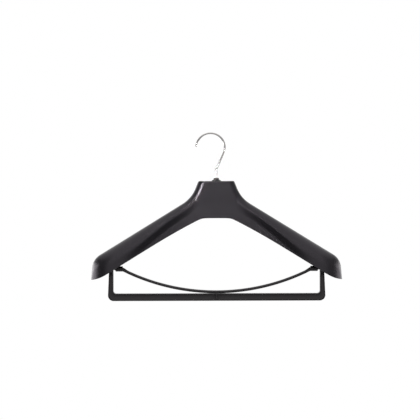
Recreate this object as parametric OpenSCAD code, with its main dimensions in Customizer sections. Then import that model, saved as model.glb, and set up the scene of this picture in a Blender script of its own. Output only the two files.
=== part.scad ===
// Wide-shoulder suit hanger with a trouser bar, a clamp bow and a swivel wire hook.
// The origin is where the inside of the hook rests on a rail. Z is up, the front faces -Y.

/* [Hook] */
// Diameter of the chromed hook wire
wire_d = 3.2; // [2.8:0.1:3.6]
// Radius of the inside of the hook's bend, which sits on the rail
hook_r = 23.6; // [20:0.1:26]
// Height from the inside of the bend down to the kink above the stem
hook_drop = 62.6; // [56:0.1:70]
// Sideways distance from the top of the bend to the stem
stem_x = 10; // [6:0.5:14]
// Inside radius of the kink where the wire turns down into the stem
kink_r = 3; // [2:0.5:6]
// Angle above the bend's own centre at which the wire leaves the bend for its straight tip
tip_angle = 15; // [5:1:25]
// Length of the straight tip
tip_l = 5.6; // [3:0.1:10]

/* [Swivel] */
// Outside diameter of the clear sleeve on the stem
sleeve_d = 4.9; // [4.6:0.1:5.6]
// Length of the sleeve that shows above the collar
sleeve_l = 14.2; // [10:0.1:18]
// Depth of the socket in the collar that takes the sleeve's lower end
sleeve_socket = 1; // [0.5:0.1:1.5]
// Width of the collar's lower flange across its flats
flange_d = 15.6; // [14:0.1:18]
// Height of the collar's lower flange
flange_h = 2.7; // [2:0.1:4]
// Diameter of the collar's upper step
step_d = 9.6; // [8:0.1:11]
// Height of the collar's upper step
step_h = 2.7; // [2:0.1:4]
// Diameter of the collar's spigot inside the neck
spigot_d = 9; // [8:0.1:10]
// Length of the collar's spigot below the top of the neck
spigot_l = 18; // [12:0.5:24]
// Diameter of the thread on the wire's lower end
thread_d = 3; // [2.4:0.1:3.2]
// Diameter of the thrust washer
washer_d = 11; // [10.5:0.1:12]
// Thickness of the thrust washer
washer_t = 1; // [0.6:0.1:1.6]
// Width of the hexagonal nut across its flats
nut_w = 5.5; // [5:0.1:7]
// Height of the nut
nut_h = 2.4; // [2:0.1:4]
// Length of thread that stands out below the nut
thread_out = 2; // [1:0.1:4]

/* [Neck] */
// Width of the neck's flat top
neck_flat = 58.6; // [50:0.2:70]
// Height of the neck from its underside to its top
neck_h = 65.3; // [60:0.1:72]
// Depth of the neck from front to back
neck_depth = 25; // [22:0.5:28]
// Radius of the neck's top corners and top edges
neck_r = 3.5; // [3:0.1:5]
// Slope of the neck's sides from level
neck_side = 68; // [62:1:74]
// Radius of the hollow curve from the neck's sides into the arms
flare_r = 58; // [50:1:70]

/* [Arms] */
// Length of the hanger from tip to tip
span = 441.8; // [430:0.2:460]
// Slope of the arms from level
arm_slope = 31.6; // [29:0.1:33]
// Thickness of an arm, square to its slope
arm_t = 35.4; // [32:0.1:37]
// Depth of an arm's shoulder from front to back
arm_depth = 52; // [46:1:58]
// Width of the neck's underside between the two sloping undersides
underside_w = 66.6; // [60:0.2:72]
// Radius of the arm's upper end corner
end_r = 29; // [24:1:32]
// Slope of the arm's end from level
end_slope = 85; // [78:1:86]
// Radius of the upward curve of the underside at the tip
toe_r = 64; // [50:1:75]
// Slope of the underside at the tip
toe_slope = 6; // [2:1:10]
// Length of the rounding of the tip as seen from above
plan_r = 40; // [30:1:44]
// How far the tips stand forward of the neck
sweep = 10; // [0:1:14]
// Depth of the hollow that divides the neck's face from the shoulder
valley = 4; // [2:0.5:5]
// Wall thickness of the moulded body
wall = 2.4; // [2:0.1:2.8]
// Thickness of the cross ribs inside the arms
rib_t = 1.8; // [1.2:0.1:2.4]
// Height of the cross ribs' lower edges above the arm's rim
rib_rise = 3; // [2:0.5:6]
// Spacing of the cross ribs along an arm
rib_pitch = 30; // [26:1:34]

/* [Trouser bar] */
// Outside width of the bar at the foot of its legs
bar_w = 382.6; // [378:0.2:388]
// Height of the bar
bar_h = 12.8; // [11:0.1:15]
// Depth of the bar and its legs from front to back
bar_depth = 12; // [10:0.5:13]
// Distance from the neck's underside down to the top of the bar
bar_drop = 132.7; // [125:0.1:140]
// Width of a leg at its upper end, as seen from the front
leg_w = 7.6; // [7:0.1:9]
// How much wider a leg grows on its outer side down to its foot
leg_taper = 1.7; // [0:0.1:2.5]
// Outer radius of the bar's lower corners
bar_r = 10; // [9:0.5:14]
// Inner radius where the legs meet the bar
bar_inner_r = 5; // [3:0.5:8]
// Width of the raised rim round the bar's faces
rim_w = 1.7; // [1.4:0.1:2.2]
// Depth of the recess inside the rim
rim_d = 1.6; // [1:0.1:2.5]
// Width of the small rib across the middle of the recess
mark_w = 2; // [1.2:0.1:3]
// Height of a leg above the bow's pivot
leg_top = 22; // [18:0.5:24]
// Width of the snap barb on a leg's outer side
barb = 1.2; // [0.8:0.1:1.5]

/* [Clamp bow] */
// Thickness of the bow
bow_t = 5; // [4:0.1:5.6]
// Depth of the bow from front to back
bow_depth = 9; // [7:0.5:9.2]
// Radius of the bow's lower face
bow_r = 371; // [360:1:400]
// Height of the bow's pivot above the top of the bar
pivot_rise = 43.5; // [42:0.5:48]
// Diameter of the bow's end barrels
lug_d = 9.2; // [8.6:0.1:10]
// Length of the bow's end barrels
lug_l = 13.2; // [11:0.1:15]
// Gap between an end barrel and its leg
lug_gap = 3.6; // [2:0.1:5]
// Diameter of the bow's end pins
pin_d = 4; // [3.4:0.1:4.6]

/* [Fits] */
// Radial clearance of the wire in the collar and of the bow's pins in the legs
turn_fit = 0.08; // [0.05:0.01:0.1]
// Axial play of the swivel and clearance of the bow above the bar
play = 0.3; // [0.2:0.05:0.5]
// Clearance round a leg in its socket
socket_fit = 0.15; // [0.05:0.05:0.3]

/* [Hidden] */
$fn = 96;
// Overlap that lets joined shapes fuse
eps = 0.02;
// Swell of the wire where a bend meets a straight run
joint_swell = 0.06;
// Distance that an arc and a run each stay back from their meeting point inside the swell
joint_trim = 0.2;
// How far a cutting shape runs past what it cuts
past = 5;

// Hook: the bend's centreline radius and centre height, and the tangent to the kink
bend_r = hook_r + wire_d / 2;
bend_z = -hook_r;
kink_dz = hook_drop - hook_r;
kink_far = norm([stem_x, kink_dz]);
lean = asin(bend_r / kink_far) - atan(stem_x / kink_dz);
run_l = sqrt(kink_far * kink_far - bend_r * bend_r);
kink_back = (kink_r + wire_d / 2) * tan(lean / 2);

// Swivel heights, from the top down
sleeve_top = -hook_drop - kink_back;
collar_top = sleeve_top - sleeve_l;
neck_top = collar_top - step_h - flange_h;
spigot_end = neck_top - spigot_l;
washer_top = spigot_end - play;
nut_top = washer_top - washer_t;
wire_end = nut_top - nut_h - thread_out;

// Front outline of the body: the top and the underside
tip_x = span / 2;
underside_z = neck_top - neck_h;
arm_h = arm_t / cos(arm_slope);
low_apex = underside_z + underside_w / 2 * tan(arm_slope);
top_apex = low_apex + arm_h;
low_blend_x = 115;
low_blend_r = 840;
corner_soft = 2.2;
toe_x = tip_x - toe_r * (sin(arm_slope) - sin(toe_slope));
toe_z = low_apex - toe_x * tan(arm_slope);
tip_z = toe_z - toe_r * (cos(toe_slope) - cos(arm_slope));

// Corner of the neck, straight side and hollow flare
neck_cx = neck_flat / 2;
neck_cz = neck_top - neck_r;
side_x = neck_cx + neck_r * sin(neck_side);
side_z = neck_cz + neck_r * cos(neck_side);
side_l = ((side_z - top_apex) + side_x * tan(arm_slope)
          + flare_r * (cos(neck_side) - cos(arm_slope))
          + flare_r * (sin(neck_side) - sin(arm_slope)) * tan(arm_slope))
         / (sin(neck_side) - cos(neck_side) * tan(arm_slope));
flare_cx = side_x + side_l * cos(neck_side) + flare_r * sin(neck_side);
flare_cz = side_z - side_l * sin(neck_side) + flare_r * cos(neck_side);

flare_start = flare_cx - flare_r * sin(neck_side);

// Upper end corner: where the end's line meets the top line, then the arc's centre
end_vx = (tip_z + tip_x * tan(end_slope) - top_apex) / (tan(end_slope) - tan(arm_slope));
end_vz = top_apex - end_vx * tan(arm_slope);
end_tan = end_r * tan((end_slope - arm_slope) / 2);
end_cx = end_vx - end_tan * cos(arm_slope) - end_r * sin(arm_slope);
end_cz = end_vz + end_tan * sin(arm_slope) - end_r * cos(arm_slope);

// Stations of the body's skin along half its length, and steps round a section
flat_steps = 4;
corner_steps = 4;
side_steps = 2;
flare_steps = 6;
arm_steps = 11;
end_steps = 6;
tip_steps = 5;
wall_steps = 5;
round_steps = 6;

// Trouser bar and bow places, measured from the body's middle
bar_top = underside_z - bar_drop;
bar_bottom = bar_top - bar_h;
foot_out = bar_w / 2;
leg_out = foot_out - leg_taper;
leg_in = leg_out - leg_w;
leg_mid = leg_out - leg_w / 2;
pivot_z = bar_top + pivot_rise;
leg_z = pivot_z + leg_top;
lug_out = leg_in - lug_gap;
lug_in = lug_out - lug_l;
bow_low = bar_top + play;
bow_cz = bow_low + bow_r;
bow_mid_r = bow_r - bow_t / 2;
strip_gap = 2;
bow_half = asin((lug_in - strip_gap) / bow_mid_r);
pin_inset = 1.5;
pin_out = leg_out - pin_inset;
bar_y = -sweep * (leg_mid / tip_x) * (leg_mid / tip_x);
recess_top = pivot_z - lug_d / 2 - rim_w;

// Leg sockets inside the arms
socket_wall = 2;
mouth_gap = 1.4;
socket_mouth = pivot_z + lug_d / 2 + mouth_gap;
barb_h = 3.4;
barb_w = 6;
barb_drop = 6;
barb_z = leg_z - barb_drop;
window_gap = 0.4;

// First rib's place, and the room left between the last one and a bow's end
rib_first = 16;
rib_end_gap = 8;

// Where the body's depth grows from the neck to the shoulder, the sharpness of its plan at the tip,
// the greatest share of a section that is rounded, and the least radius of the neck's inner edges
swell_from = 30;
swell_to = tip_x - 15;
plan_power = 1.6;
round_share = 0.86;
least_r = 0.4;

// Hollow in the face: where it fades in and out along the arm, its upper edge and the drop of that edge
// as shares of the height, the width of the edge, and the share of the hollow that the neck's face has
hollow_in = [26, 84];
hollow_out = [115, 174];
hollow_edge_x = [60, 160];
hollow_edge_v = [0.54, 0.36];
hollow_fade = 0.2;
hollow_least = 0.22;

// Hook boss inside the neck, and the collar's snap bead below it
bead = 0.5;
bead_h = 1.4;
slot_w = 1.2;
seat_fit = 0.03;
boss_wall = 2.6;
boss_d = spigot_d + 2 * boss_wall;
bead_gap = 0.2;
boss_end = spigot_end + bead_h + bead_gap;
flange_sides = 12;
// Share of the flange's height that is chamfered, and of the spigot's length that is slotted
flange_bevel = 0.45;
slot_share = 0.6;

// Fit of what stays fixed on the wire, and small edges on the bow
sleeve_fit = 0.05;
lug_edge = 1.2;
bow_edge = 0.42 * bow_t;
// Thickening between the bow's strip and its barrel: share of the bow's depth, of the barrel's length
// that it overlaps, and of its own grip on the barrel's inner end
web_depth_share = 0.7;
web_reach = 0.75;
web_end_share = 0.8;

// Smooth step from 0 at a to 1 at b
function ramp(a, b, x) = let(t = min(1, max(0, (x - a) / (b - a)))) t * t * (3 - 2 * t);
// The larger of two values, with the corner between them softened
function soft_max(a, b, c) = (a + b + sqrt((a - b) * (a - b) + c * c)) / 2;

// Height of the underside at a distance x from the middle
function low_z(x) =
    x > toe_x
    ? toe_z - toe_r * (sqrt(1 - pow(sin(arm_slope) - (x - toe_x) / toe_r, 2)) - cos(arm_slope))
    : -soft_max(
        -underside_z,
        -low_apex + x * tan(arm_slope) + pow(max(0, low_blend_x - x), 2) / (2 * low_blend_r),
        corner_soft
    );

// End of the skin, and where its pieces meet, for a skin set w inside the outer one
function skin_tip(w) = tip_x - w / sin(end_slope);
function flare_out(w) = flare_cx - (flare_r + w) * sin(arm_slope);
function end_in(w) = end_cx + (end_r - w) * sin(arm_slope);
function end_out(w) = end_cx + (end_r - w) * sin(end_slope);

// Places along half the body at which the skin has a section, from the middle to near the tip
function stations(w) = concat(
    [for (i = [0 : flat_steps - 1]) neck_cx * i / flat_steps],
    [for (i = [0 : corner_steps]) neck_cx + (neck_r - w) * sin(neck_side * i / corner_steps)],
    [for (i = [1 : side_steps]) let(
        a = neck_cx + (neck_r - w) * sin(neck_side),
        b = flare_cx - (flare_r + w) * sin(neck_side)
    ) a + (b - a) * i / side_steps],
    [for (i = [1 : flare_steps]) let(
        s = neck_side + (arm_slope - neck_side) * i / flare_steps
    ) flare_cx - (flare_r + w) * sin(s)],
    [for (i = [1 : arm_steps]) flare_out(w) + (end_in(w) - flare_out(w)) * i / arm_steps],
    [for (i = [1 : end_steps]) let(
        s = arm_slope + (end_slope - arm_slope) * i / end_steps
    ) end_cx + (end_r - w) * sin(s)],
    [for (i = [1 : tip_steps]) let(
        t = 1 - pow(1 - i / (tip_steps + 1), 2)
    ) end_out(w) + (skin_tip(w) - end_out(w)) * t]
);

// Height of the top of a skin set w inside the outer one
function top_z(x, w) =
    x <= neck_cx ? neck_top - w
    : x <= neck_cx + (neck_r - w) * sin(neck_side)
    ? neck_cz + sqrt(max(0, pow(neck_r - w, 2) - pow(x - neck_cx, 2)))
    : x <= flare_cx - (flare_r + w) * sin(neck_side)
    ? neck_cz + (neck_r - w) / cos(neck_side) - (x - neck_cx) * tan(neck_side)
    : x <= flare_out(w) ? flare_cz - sqrt(pow(flare_r + w, 2) - pow(flare_cx - x, 2))
    : x <= end_in(w) ? top_apex - w / cos(arm_slope) - x * tan(arm_slope)
    : x <= end_out(w) ? end_cz + sqrt(max(0, pow(end_r - w, 2) - pow(x - end_cx, 2)))
    : low_z(skin_tip(w)) + (skin_tip(w) - x) * tan(end_slope);

// Slope of the top of the outer skin
function top_slope(x) =
    x <= neck_cx ? 0
    : x <= side_x ? asin((x - neck_cx) / neck_r)
    : x <= flare_cx - flare_r * sin(neck_side) ? neck_side
    : x <= flare_out(0) ? asin((flare_cx - x) / flare_r)
    : x <= end_in(0) ? arm_slope
    : x <= end_out(0) ? asin((x - end_cx) / end_r)
    : end_slope;

// Line that the sections are centred on, and half their depth at the rim
function mid_y(x) = -sweep * (x / tip_x) * (x / tip_x);
function plan_end(x, w) = let(
    start = tip_x - plan_r,
    t = max(0, (x - start) / (skin_tip(w) - start))
) pow(max(0, 1 - pow(t, plan_power)), 1 / plan_power);
function half_depth(x, w) =
    (neck_depth / 2 + (arm_depth - neck_depth) / 2 * ramp(swell_from, swell_to, x) - w) * plan_end(x, w);

// Share of the full depth left at a distance from an edge that is rounded to a radius
function dome(distance, r) = let(
    t = 1 - min(1, max(0, distance) / r)
) sqrt(max(0, 1 - t * t));

// How far a section's rounding reaches down from the top
function round_v(x, w) = let(
    room = top_z(x, w) - low_z(x),
    side_reach = (x + (neck_depth / 2 - w) / sin(neck_side) - side_line(top_z(x, w), w)) * tan(neck_side),
    reach = x < flare_start
        ? max(neck_r, side_reach)
        : half_depth(x, w) / cos(min(80, top_slope(x)))
) min(reach, round_share * room);

// Distance from the middle to the neck's straight side, at a height
function side_line(z, w) = side_x - w / sin(neck_side) + (side_z - z) / tan(neck_side);

// Half the depth of a section at height z
function depth_at(x, z, w) = let(
    d = half_depth(x, w),
    zt = top_z(x, w),
    rv = round_v(x, w),
    r = max(least_r, neck_r - w),
    top_edge = d - r + r * dome(zt - z, r),
    side_edge = d * dome((side_line(z, w) - x) * sin(neck_side), d)
) x < flare_start - eps ? min(top_edge, side_edge) : d * dome(zt - z, rv);

// Depth of the hollow below the shoulder at height share v of the section
function hollow(x, v) = let(
    edge = hollow_edge_v[0] - hollow_edge_v[1] * ramp(hollow_edge_x[0], hollow_edge_x[1], x),
    rise = hollow_least + (1 - hollow_least) * ramp(hollow_in[0], hollow_in[1], x),
    along = rise * (1 - ramp(hollow_out[0], hollow_out[1], x))
) valley * along * (1 - ramp(edge - hollow_fade, edge + hollow_fade, v));

// Section of a skin: points from the front rim over the top to the rear rim
function half_section(x, w) = let(
    zl = low_z(x),
    zt = top_z(x, w),
    zs = zt - round_v(x, w)
) concat(
    [for (i = [0 : wall_steps]) let(z = zl + (zs - zl) * i / wall_steps)
        [depth_at(x, z, w) - hollow(x, (z - zl) / (zt - zl)), z]],
    [for (i = [1 : round_steps]) let(z = zs + (zt - zs) * sin(90 * i / round_steps))
        [depth_at(x, z, w) - hollow(x, (z - zl) / (zt - zl)), z]]
);
function section(x, w, side) = let(
    h = half_section(x, w),
    y = mid_y(x),
    n = len(h)
) concat(
    [for (p = h) [side * x, y - p[0], p[1]]],
    [[side * x, y, h[n - 1][1]]],
    [for (i = [n - 1 : -1 : 0]) [side * x, y + h[i][0], h[i][1]]]
);

// Hollow moulded skin of the body, open underneath
module skin() {
    outer = stations(0);
    inner = stations(wall);
    n = len(outer);
    rings_out = concat(
        [for (i = [n - 1 : -1 : 1]) section(outer[i], 0, -1)],
        [for (i = [0 : n - 1]) section(outer[i], 0, 1)]
    );
    rings_in = concat(
        [for (i = [n - 1 : -1 : 1]) section(inner[i], wall, -1)],
        [for (i = [0 : n - 1]) section(inner[i], wall, 1)]
    );
    r = len(rings_out);
    m = len(rings_out[0]);
    in_x = skin_tip(wall);
    tips = [
        [-tip_x, mid_y(tip_x), tip_z],
        [tip_x, mid_y(tip_x), tip_z],
        [-in_x, mid_y(in_x), low_z(in_x)],
        [in_x, mid_y(in_x), low_z(in_x)]
    ];
    base = r * m;
    t = 2 * base;
    points = concat([for (g = rings_out) each g], [for (g = rings_in) each g], tips);
    last = (r - 1) * m;
    faces = concat(
        [for (i = [0 : r - 2], j = [0 : m - 2]) let(a = i * m + j) each
            [[a, a + 1, a + m + 1], [a, a + m + 1, a + m]]],
        [for (i = [0 : r - 2], j = [0 : m - 2]) let(a = base + i * m + j) each
            [[a, a + m + 1, a + 1], [a, a + m, a + m + 1]]],
        [for (i = [0 : r - 2]) let(a = i * m, b = base + i * m) each
            [[a, a + m, b + m], [a, b + m, b]]],
        [for (i = [0 : r - 2]) let(a = i * m + m - 1, b = base + i * m + m - 1) each
            [[a + m, a, b], [a + m, b, b + m]]],
        [for (j = [0 : m - 2]) each
            [[t, j + 1, j], [last + j, last + j + 1, t + 1]]],
        [for (j = [0 : m - 2]) each
            [[t + 2, base + j, base + j + 1], [base + last + j + 1, base + last + j, t + 3]]],
        [[t, 0, base], [t, base, t + 2]],
        [[m - 1, t, t + 2], [m - 1, t + 2, base + m - 1]],
        [[last, t + 1, t + 3], [last, t + 3, base + last]],
        [[t + 1, last + m - 1, base + last + m - 1], [t + 1, base + last + m - 1, t + 3]]
    );
    polyhedron(points, faces, convexity = 8);
}

// Cross rib at a distance x from the middle, let into the wall by half its thickness
module rib(x, side, thick, foot) {
    outline = [for (p = section(x, wall / 2, side)) [p[1], max(p[2], foot)]];
    translate([side * x - thick / 2, 0, 0])
        rotate([90, 0, 90])
            linear_extrude(thick)
                polygon(outline);
}

// Drop of an arm's roof from the section's middle to a distance y to the side of it
function roof_drop(x, y) = let(
    share = y / half_depth(x, wall / 2)
) round_v(x, wall / 2) * (1 - sqrt(1 - share * share));

// Wall along the arm that closes a leg's socket in front or behind
module socket_cheek(side) {
    x1 = leg_in - socket_fit - socket_wall;
    x2 = leg_out + socket_fit + socket_wall;
    off = bar_depth / 2 + socket_fit;
    drop = roof_drop(leg_mid, off + socket_wall / 2);
    for (y = [-off - socket_wall, off])
        translate([0, bar_y + y, 0])
            rotate([90, 0, 0])
                mirror([0, 0, 1])
                    linear_extrude(socket_wall)
                        polygon([
                            [side * x1, socket_mouth],
                            [side * x2, socket_mouth],
                            [side * x2, top_z(x2, wall / 2) - drop],
                            [side * x1, top_z(x1, wall / 2) - drop]
                        ]);
}

// Socket in an arm that takes the upper end of a leg
module leg_socket(side) {
    half = socket_fit + socket_wall / 2;
    rib(leg_in - half, side, socket_wall, socket_mouth);
    rib(leg_out + half, side, socket_wall, socket_mouth);
    socket_cheek(side);
}

// Window in the socket's outer wall for the leg's snap barb
module barb_window(side) {
    x = leg_out + socket_fit;
    translate([side * (x + socket_wall / 2), bar_y, barb_z])
        cube([socket_wall + 2 * eps, barb_w + 2 * window_gap, barb_h + 2 * window_gap], center = true);
}

// Boss in the neck that holds the collar's spigot, with a web to each side of it
module hook_boss() {
    translate([0, 0, boss_end])
        cylinder(d = boss_d, h = neck_top - wall / 2 - boss_end);
    translate([-rib_t / 2, mid_y(0) - neck_depth / 2 + wall / 2, boss_end])
        cube([rib_t, neck_depth - wall, neck_top - wall / 2 - boss_end]);
}

module body_shell() {
    color([0.13, 0.13, 0.14])
        translate([stem_x, 0, 0])
            difference() {
                union() {
                    skin();
                    for (side = [-1, 1], x = [rib_first : rib_pitch : lug_in - rib_end_gap])
                        rib(x, side, rib_t, low_z(x) + rib_rise);
                    hook_boss();
                    for (side = [-1, 1])
                        leg_socket(side);
                }
                translate([0, 0, boss_end - past])
                    cylinder(d = spigot_d + 2 * seat_fit, h = neck_top - boss_end + 2 * past);
                for (side = [-1, 1])
                    barb_window(side);
            }
}

// Rounded rectangle with its middle on the origin
module round_rect(w, h, r) {
    square([w - 2 * r, h], center = true);
    square([w, h - 2 * r], center = true);
    for (x = [-1, 1], y = [-1, 1])
        translate([x * (w / 2 - r), y * (h / 2 - r)])
            circle(r);
}

// Upright U outline, open at the top: half width, lowest height, top height and lower corner radius
module cup_outline(half, low, top, r) {
    translate([0, (low + top + past) / 2])
        round_rect(2 * half, top + past - low, r);
}

// Outer outline of the bar and legs inside a margin: the legs slope in from their feet to the recess's top
module bar_outline(margin, top) {
    wide = foot_out - margin;
    slim = leg_out - margin;
    high = top + 2 * past;
    intersection() {
        cup_outline(wide, bar_bottom + margin, top, bar_r - margin);
        polygon([
            [-wide, bar_bottom],
            [wide, bar_bottom],
            [wide, bar_bottom + bar_r],
            [slim, recess_top],
            [slim, high],
            [-slim, high],
            [-slim, recess_top],
            [-wide, bar_bottom + bar_r]
        ]);
    }
}

// Face of the bar and legs inside a margin, up to a height
module bar_face(margin, top) {
    difference() {
        bar_outline(margin, top);
        cup_outline(leg_in + margin, bar_top - margin, top + past, bar_inner_r + margin);
        translate([-bar_w, top])
            square([2 * bar_w, 4 * past]);
    }
}

// Recess in one face of the bar and legs, with a small rib left across its middle
module bar_recess() {
    linear_extrude(rim_d + past)
        difference() {
            bar_face(rim_w, recess_top);
            translate([-mark_w / 2, bar_bottom])
                square([mark_w, bar_h]);
        }
}

module trouser_bar() {
    color([0.1, 0.1, 0.1])
        translate([stem_x, bar_y, 0])
            difference() {
                union() {
                    translate([0, bar_depth / 2, 0])
                        rotate([90, 0, 0])
                            linear_extrude(bar_depth)
                                bar_face(0, leg_z);
                    for (side = [-1, 1])
                        translate([side * leg_out, 0, barb_z])
                            rotate([90, 0, 0])
                                linear_extrude(barb_w, center = true)
                                    polygon([
                                        [-side * eps, -barb_h / 2],
                                        [side * barb, -barb_h / 2],
                                        [-side * eps, barb_h / 2]
                                    ]);
                }
                translate([0, rim_d - bar_depth / 2, 0])
                    rotate([90, 0, 0])
                        bar_recess();
                translate([0, bar_depth / 2 - rim_d, 0])
                    mirror([0, 1, 0])
                        rotate([90, 0, 0])
                            bar_recess();
                translate([-bar_w / 2 - past, 0, pivot_z])
                    rotate([0, 90, 0])
                        cylinder(d = pin_d + 2 * turn_fit, h = bar_w + 2 * past);
            }
}

// End of the bow on one side: barrel, pin and the thickening between the barrel and the strip
module bow_end(side) {
    grow = bow_depth * web_depth_share;
    grip = sqrt(lug_d * lug_d - grow * grow) / 2;
    strip_x = lug_in - lug_l * web_reach;
    strip_z = bow_cz - sqrt(bow_mid_r * bow_mid_r - strip_x * strip_x);
    mirror([side < 0 ? 1 : 0, 0, 0]) {
        translate([lug_in, 0, pivot_z])
            rotate([0, 90, 0])
                cylinder(d = lug_d, h = lug_l - lug_edge);
        translate([lug_out - lug_edge, 0, pivot_z])
            rotate([0, 90, 0])
                cylinder(d1 = lug_d, d2 = lug_d - 2 * lug_edge, h = lug_edge);
        translate([lug_out - lug_edge, 0, pivot_z])
            rotate([0, 90, 0])
                cylinder(d = pin_d, h = pin_out - lug_out + lug_edge);
        rotate([90, 0, 0])
            linear_extrude(grow, center = true)
                polygon([
                    [strip_x, strip_z - bow_t / 2],
                    [lug_in + lug_edge, pivot_z - grip],
                    [lug_in + lug_edge, pivot_z + grip],
                    [lug_in - lug_edge, pivot_z + grip * web_end_share],
                    [strip_x, strip_z + bow_t / 2]
                ]);
    }
}

module clamp_bow() {
    color([0.08, 0.08, 0.08])
        translate([stem_x, bar_y, 0]) {
            translate([0, 0, bow_cz])
                rotate([90, 0, 0])
                    rotate([0, 0, -90 - bow_half])
                        rotate_extrude(angle = 2 * bow_half)
                            translate([bow_mid_r, 0])
                                round_rect(bow_t, bow_depth, bow_edge);
            for (side = [-1, 1])
                bow_end(side);
        }
}

// Arc of wire in the hook's plane round a centre, from angle a through a turn
module wire_arc(x, z, r, a, turn) {
    trim = asin(joint_trim / r);
    translate([x, 0, z])
        rotate([90, 0, 0])
            rotate([0, 0, a + trim])
                rotate_extrude(angle = turn - 2 * trim)
                    translate([r, 0])
                        circle(d = wire_d);
}

// Straight wire in the hook's plane, down from a point and leaning to the left by an angle,
// with a short joint that takes in the end of the arc above it, and one below it if asked
module wire_run(p, a, l, joint_below) {
    joint_l = 5 * joint_trim;
    translate([p[0], 0, p[1]])
        rotate([0, 180 + a, 0]) {
            translate([0, 0, joint_trim])
                cylinder(d = wire_d, h = l - joint_trim * (joint_below ? 2 : 1));
            for (z = joint_below ? [0, l] : [0])
                translate([0, 0, z - joint_l / 2])
                    cylinder(d = wire_d + joint_swell, h = joint_l);
        }
}

module hook_wire() {
    tip_at = 180 - tip_angle;
    tip_start = [bend_r * cos(tip_at), bend_z + bend_r * sin(tip_at)];
    run_start = [bend_r * cos(lean), bend_z - bend_r * sin(lean)];
    color([0.75, 0.75, 0.77]) {
        wire_arc(0, bend_z, bend_r, -lean, tip_at + lean);
        wire_run(tip_start, tip_angle, tip_l, false);
        wire_run(run_start, lean, run_l - kink_back, true);
        wire_arc(stem_x + kink_r + wire_d / 2, sleeve_top, kink_r + wire_d / 2, 180 - lean, lean);
        wire_run([stem_x, sleeve_top], 0, sleeve_top - nut_top, false);
        translate([stem_x, 0, wire_end])
            cylinder(d = thread_d, h = nut_top - wire_end);
    }
}

module stem_sleeve() {
    h = sleeve_top - collar_top + sleeve_socket - play;
    edge = (sleeve_d - wire_d) / 4;
    color([0.85, 0.84, 0.84])
        translate([stem_x, 0, sleeve_top - h])
            difference() {
                union() {
                    cylinder(d = sleeve_d, h = h - edge);
                    translate([0, 0, h - edge])
                        cylinder(d1 = sleeve_d, d2 = sleeve_d - 2 * edge, h = edge);
                }
                translate([0, 0, -past])
                    cylinder(d = wire_d + 2 * sleeve_fit, h = h + 2 * past);
            }
}

module swivel_collar() {
    top_edge = flange_h * flange_bevel;
    color([0.1, 0.1, 0.1])
        translate([stem_x, 0, 0])
            difference() {
                union() {
                    intersection() {
                        translate([0, 0, neck_top])
                            cylinder(d = flange_d / cos(180 / flange_sides), h = flange_h, $fn = flange_sides);
                        union() {
                            translate([0, 0, neck_top])
                                cylinder(d = flange_d + 1, h = flange_h - top_edge);
                            translate([0, 0, neck_top + flange_h - top_edge])
                                cylinder(d1 = flange_d + 1, d2 = step_d + 1, h = top_edge);
                        }
                    }
                    translate([0, 0, neck_top])
                        cylinder(d = step_d, h = flange_h + step_h);
                    translate([0, 0, spigot_end])
                        cylinder(d = spigot_d, h = spigot_l + eps);
                    translate([0, 0, spigot_end])
                        cylinder(d1 = spigot_d, d2 = spigot_d + 2 * bead, h = bead_h);
                }
                translate([0, 0, spigot_end - past])
                    cylinder(d = wire_d + 2 * turn_fit, h = collar_top - spigot_end + 2 * past);
                translate([0, 0, collar_top - sleeve_socket])
                    cylinder(d = sleeve_d + 2 * play, h = sleeve_socket + past);
                translate([0, 0, spigot_end + (spigot_l * slot_share - past) / 2])
                    cube([slot_w, spigot_d + past, spigot_l * slot_share + past], center = true);
            }
}

module thrust_washer() {
    color([0.6, 0.6, 0.62])
        translate([stem_x, 0, nut_top])
            difference() {
                cylinder(d = washer_d, h = washer_t);
                translate([0, 0, -past])
                    cylinder(d = wire_d + 2 * turn_fit, h = washer_t + 2 * past);
            }
}

module hook_nut() {
    color([0.6, 0.6, 0.62])
        translate([stem_x, 0, nut_top - nut_h])
            difference() {
                cylinder(d = nut_w / cos(30), h = nut_h, $fn = 6);
                translate([0, 0, -past])
                    cylinder(d = thread_d + 2 * sleeve_fit, h = nut_h + 2 * past);
            }
}

body_shell();
trouser_bar();
clamp_bow();
hook_wire();
stem_sleeve();
swivel_collar();
thrust_washer();
hook_nut();
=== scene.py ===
# Looks of a wide-shouldered black suit hanger with a trouser bar, a clamp bow and a chromed swivel hook.
# Lengths are in metres, apart from the pieces' outlines, which are in millimetres until they are meshed.
import math
import bmesh
import bpy
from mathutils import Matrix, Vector


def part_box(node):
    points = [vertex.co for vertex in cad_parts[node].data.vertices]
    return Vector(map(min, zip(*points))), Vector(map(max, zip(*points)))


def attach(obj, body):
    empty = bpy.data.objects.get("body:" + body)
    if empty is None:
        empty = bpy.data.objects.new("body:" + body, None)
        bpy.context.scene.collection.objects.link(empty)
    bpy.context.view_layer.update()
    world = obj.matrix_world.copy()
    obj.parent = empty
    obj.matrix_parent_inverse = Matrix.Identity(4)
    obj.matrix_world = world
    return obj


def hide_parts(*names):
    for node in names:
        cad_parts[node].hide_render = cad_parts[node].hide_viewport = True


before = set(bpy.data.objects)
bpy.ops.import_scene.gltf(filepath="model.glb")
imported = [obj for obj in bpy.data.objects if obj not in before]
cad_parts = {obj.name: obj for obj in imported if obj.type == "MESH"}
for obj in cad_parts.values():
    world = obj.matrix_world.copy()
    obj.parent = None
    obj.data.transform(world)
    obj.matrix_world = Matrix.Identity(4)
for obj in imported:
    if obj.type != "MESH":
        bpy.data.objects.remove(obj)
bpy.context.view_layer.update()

# The photograph's view: a long lens straight in front of the hanger, at the height of its neck, against
# a seamless white backdrop. The hanger hangs in the air, a good metre above a pale studio floor.
picture_width = 0.7428
camera_distance = 2.4
sensor_width = 36
camera_x = -0.0013
camera_z = -0.1342
camera_roll = math.radians(0.17)
far_clip = 60
floor_z = -1.5
floor_radius = 1.1

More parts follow.
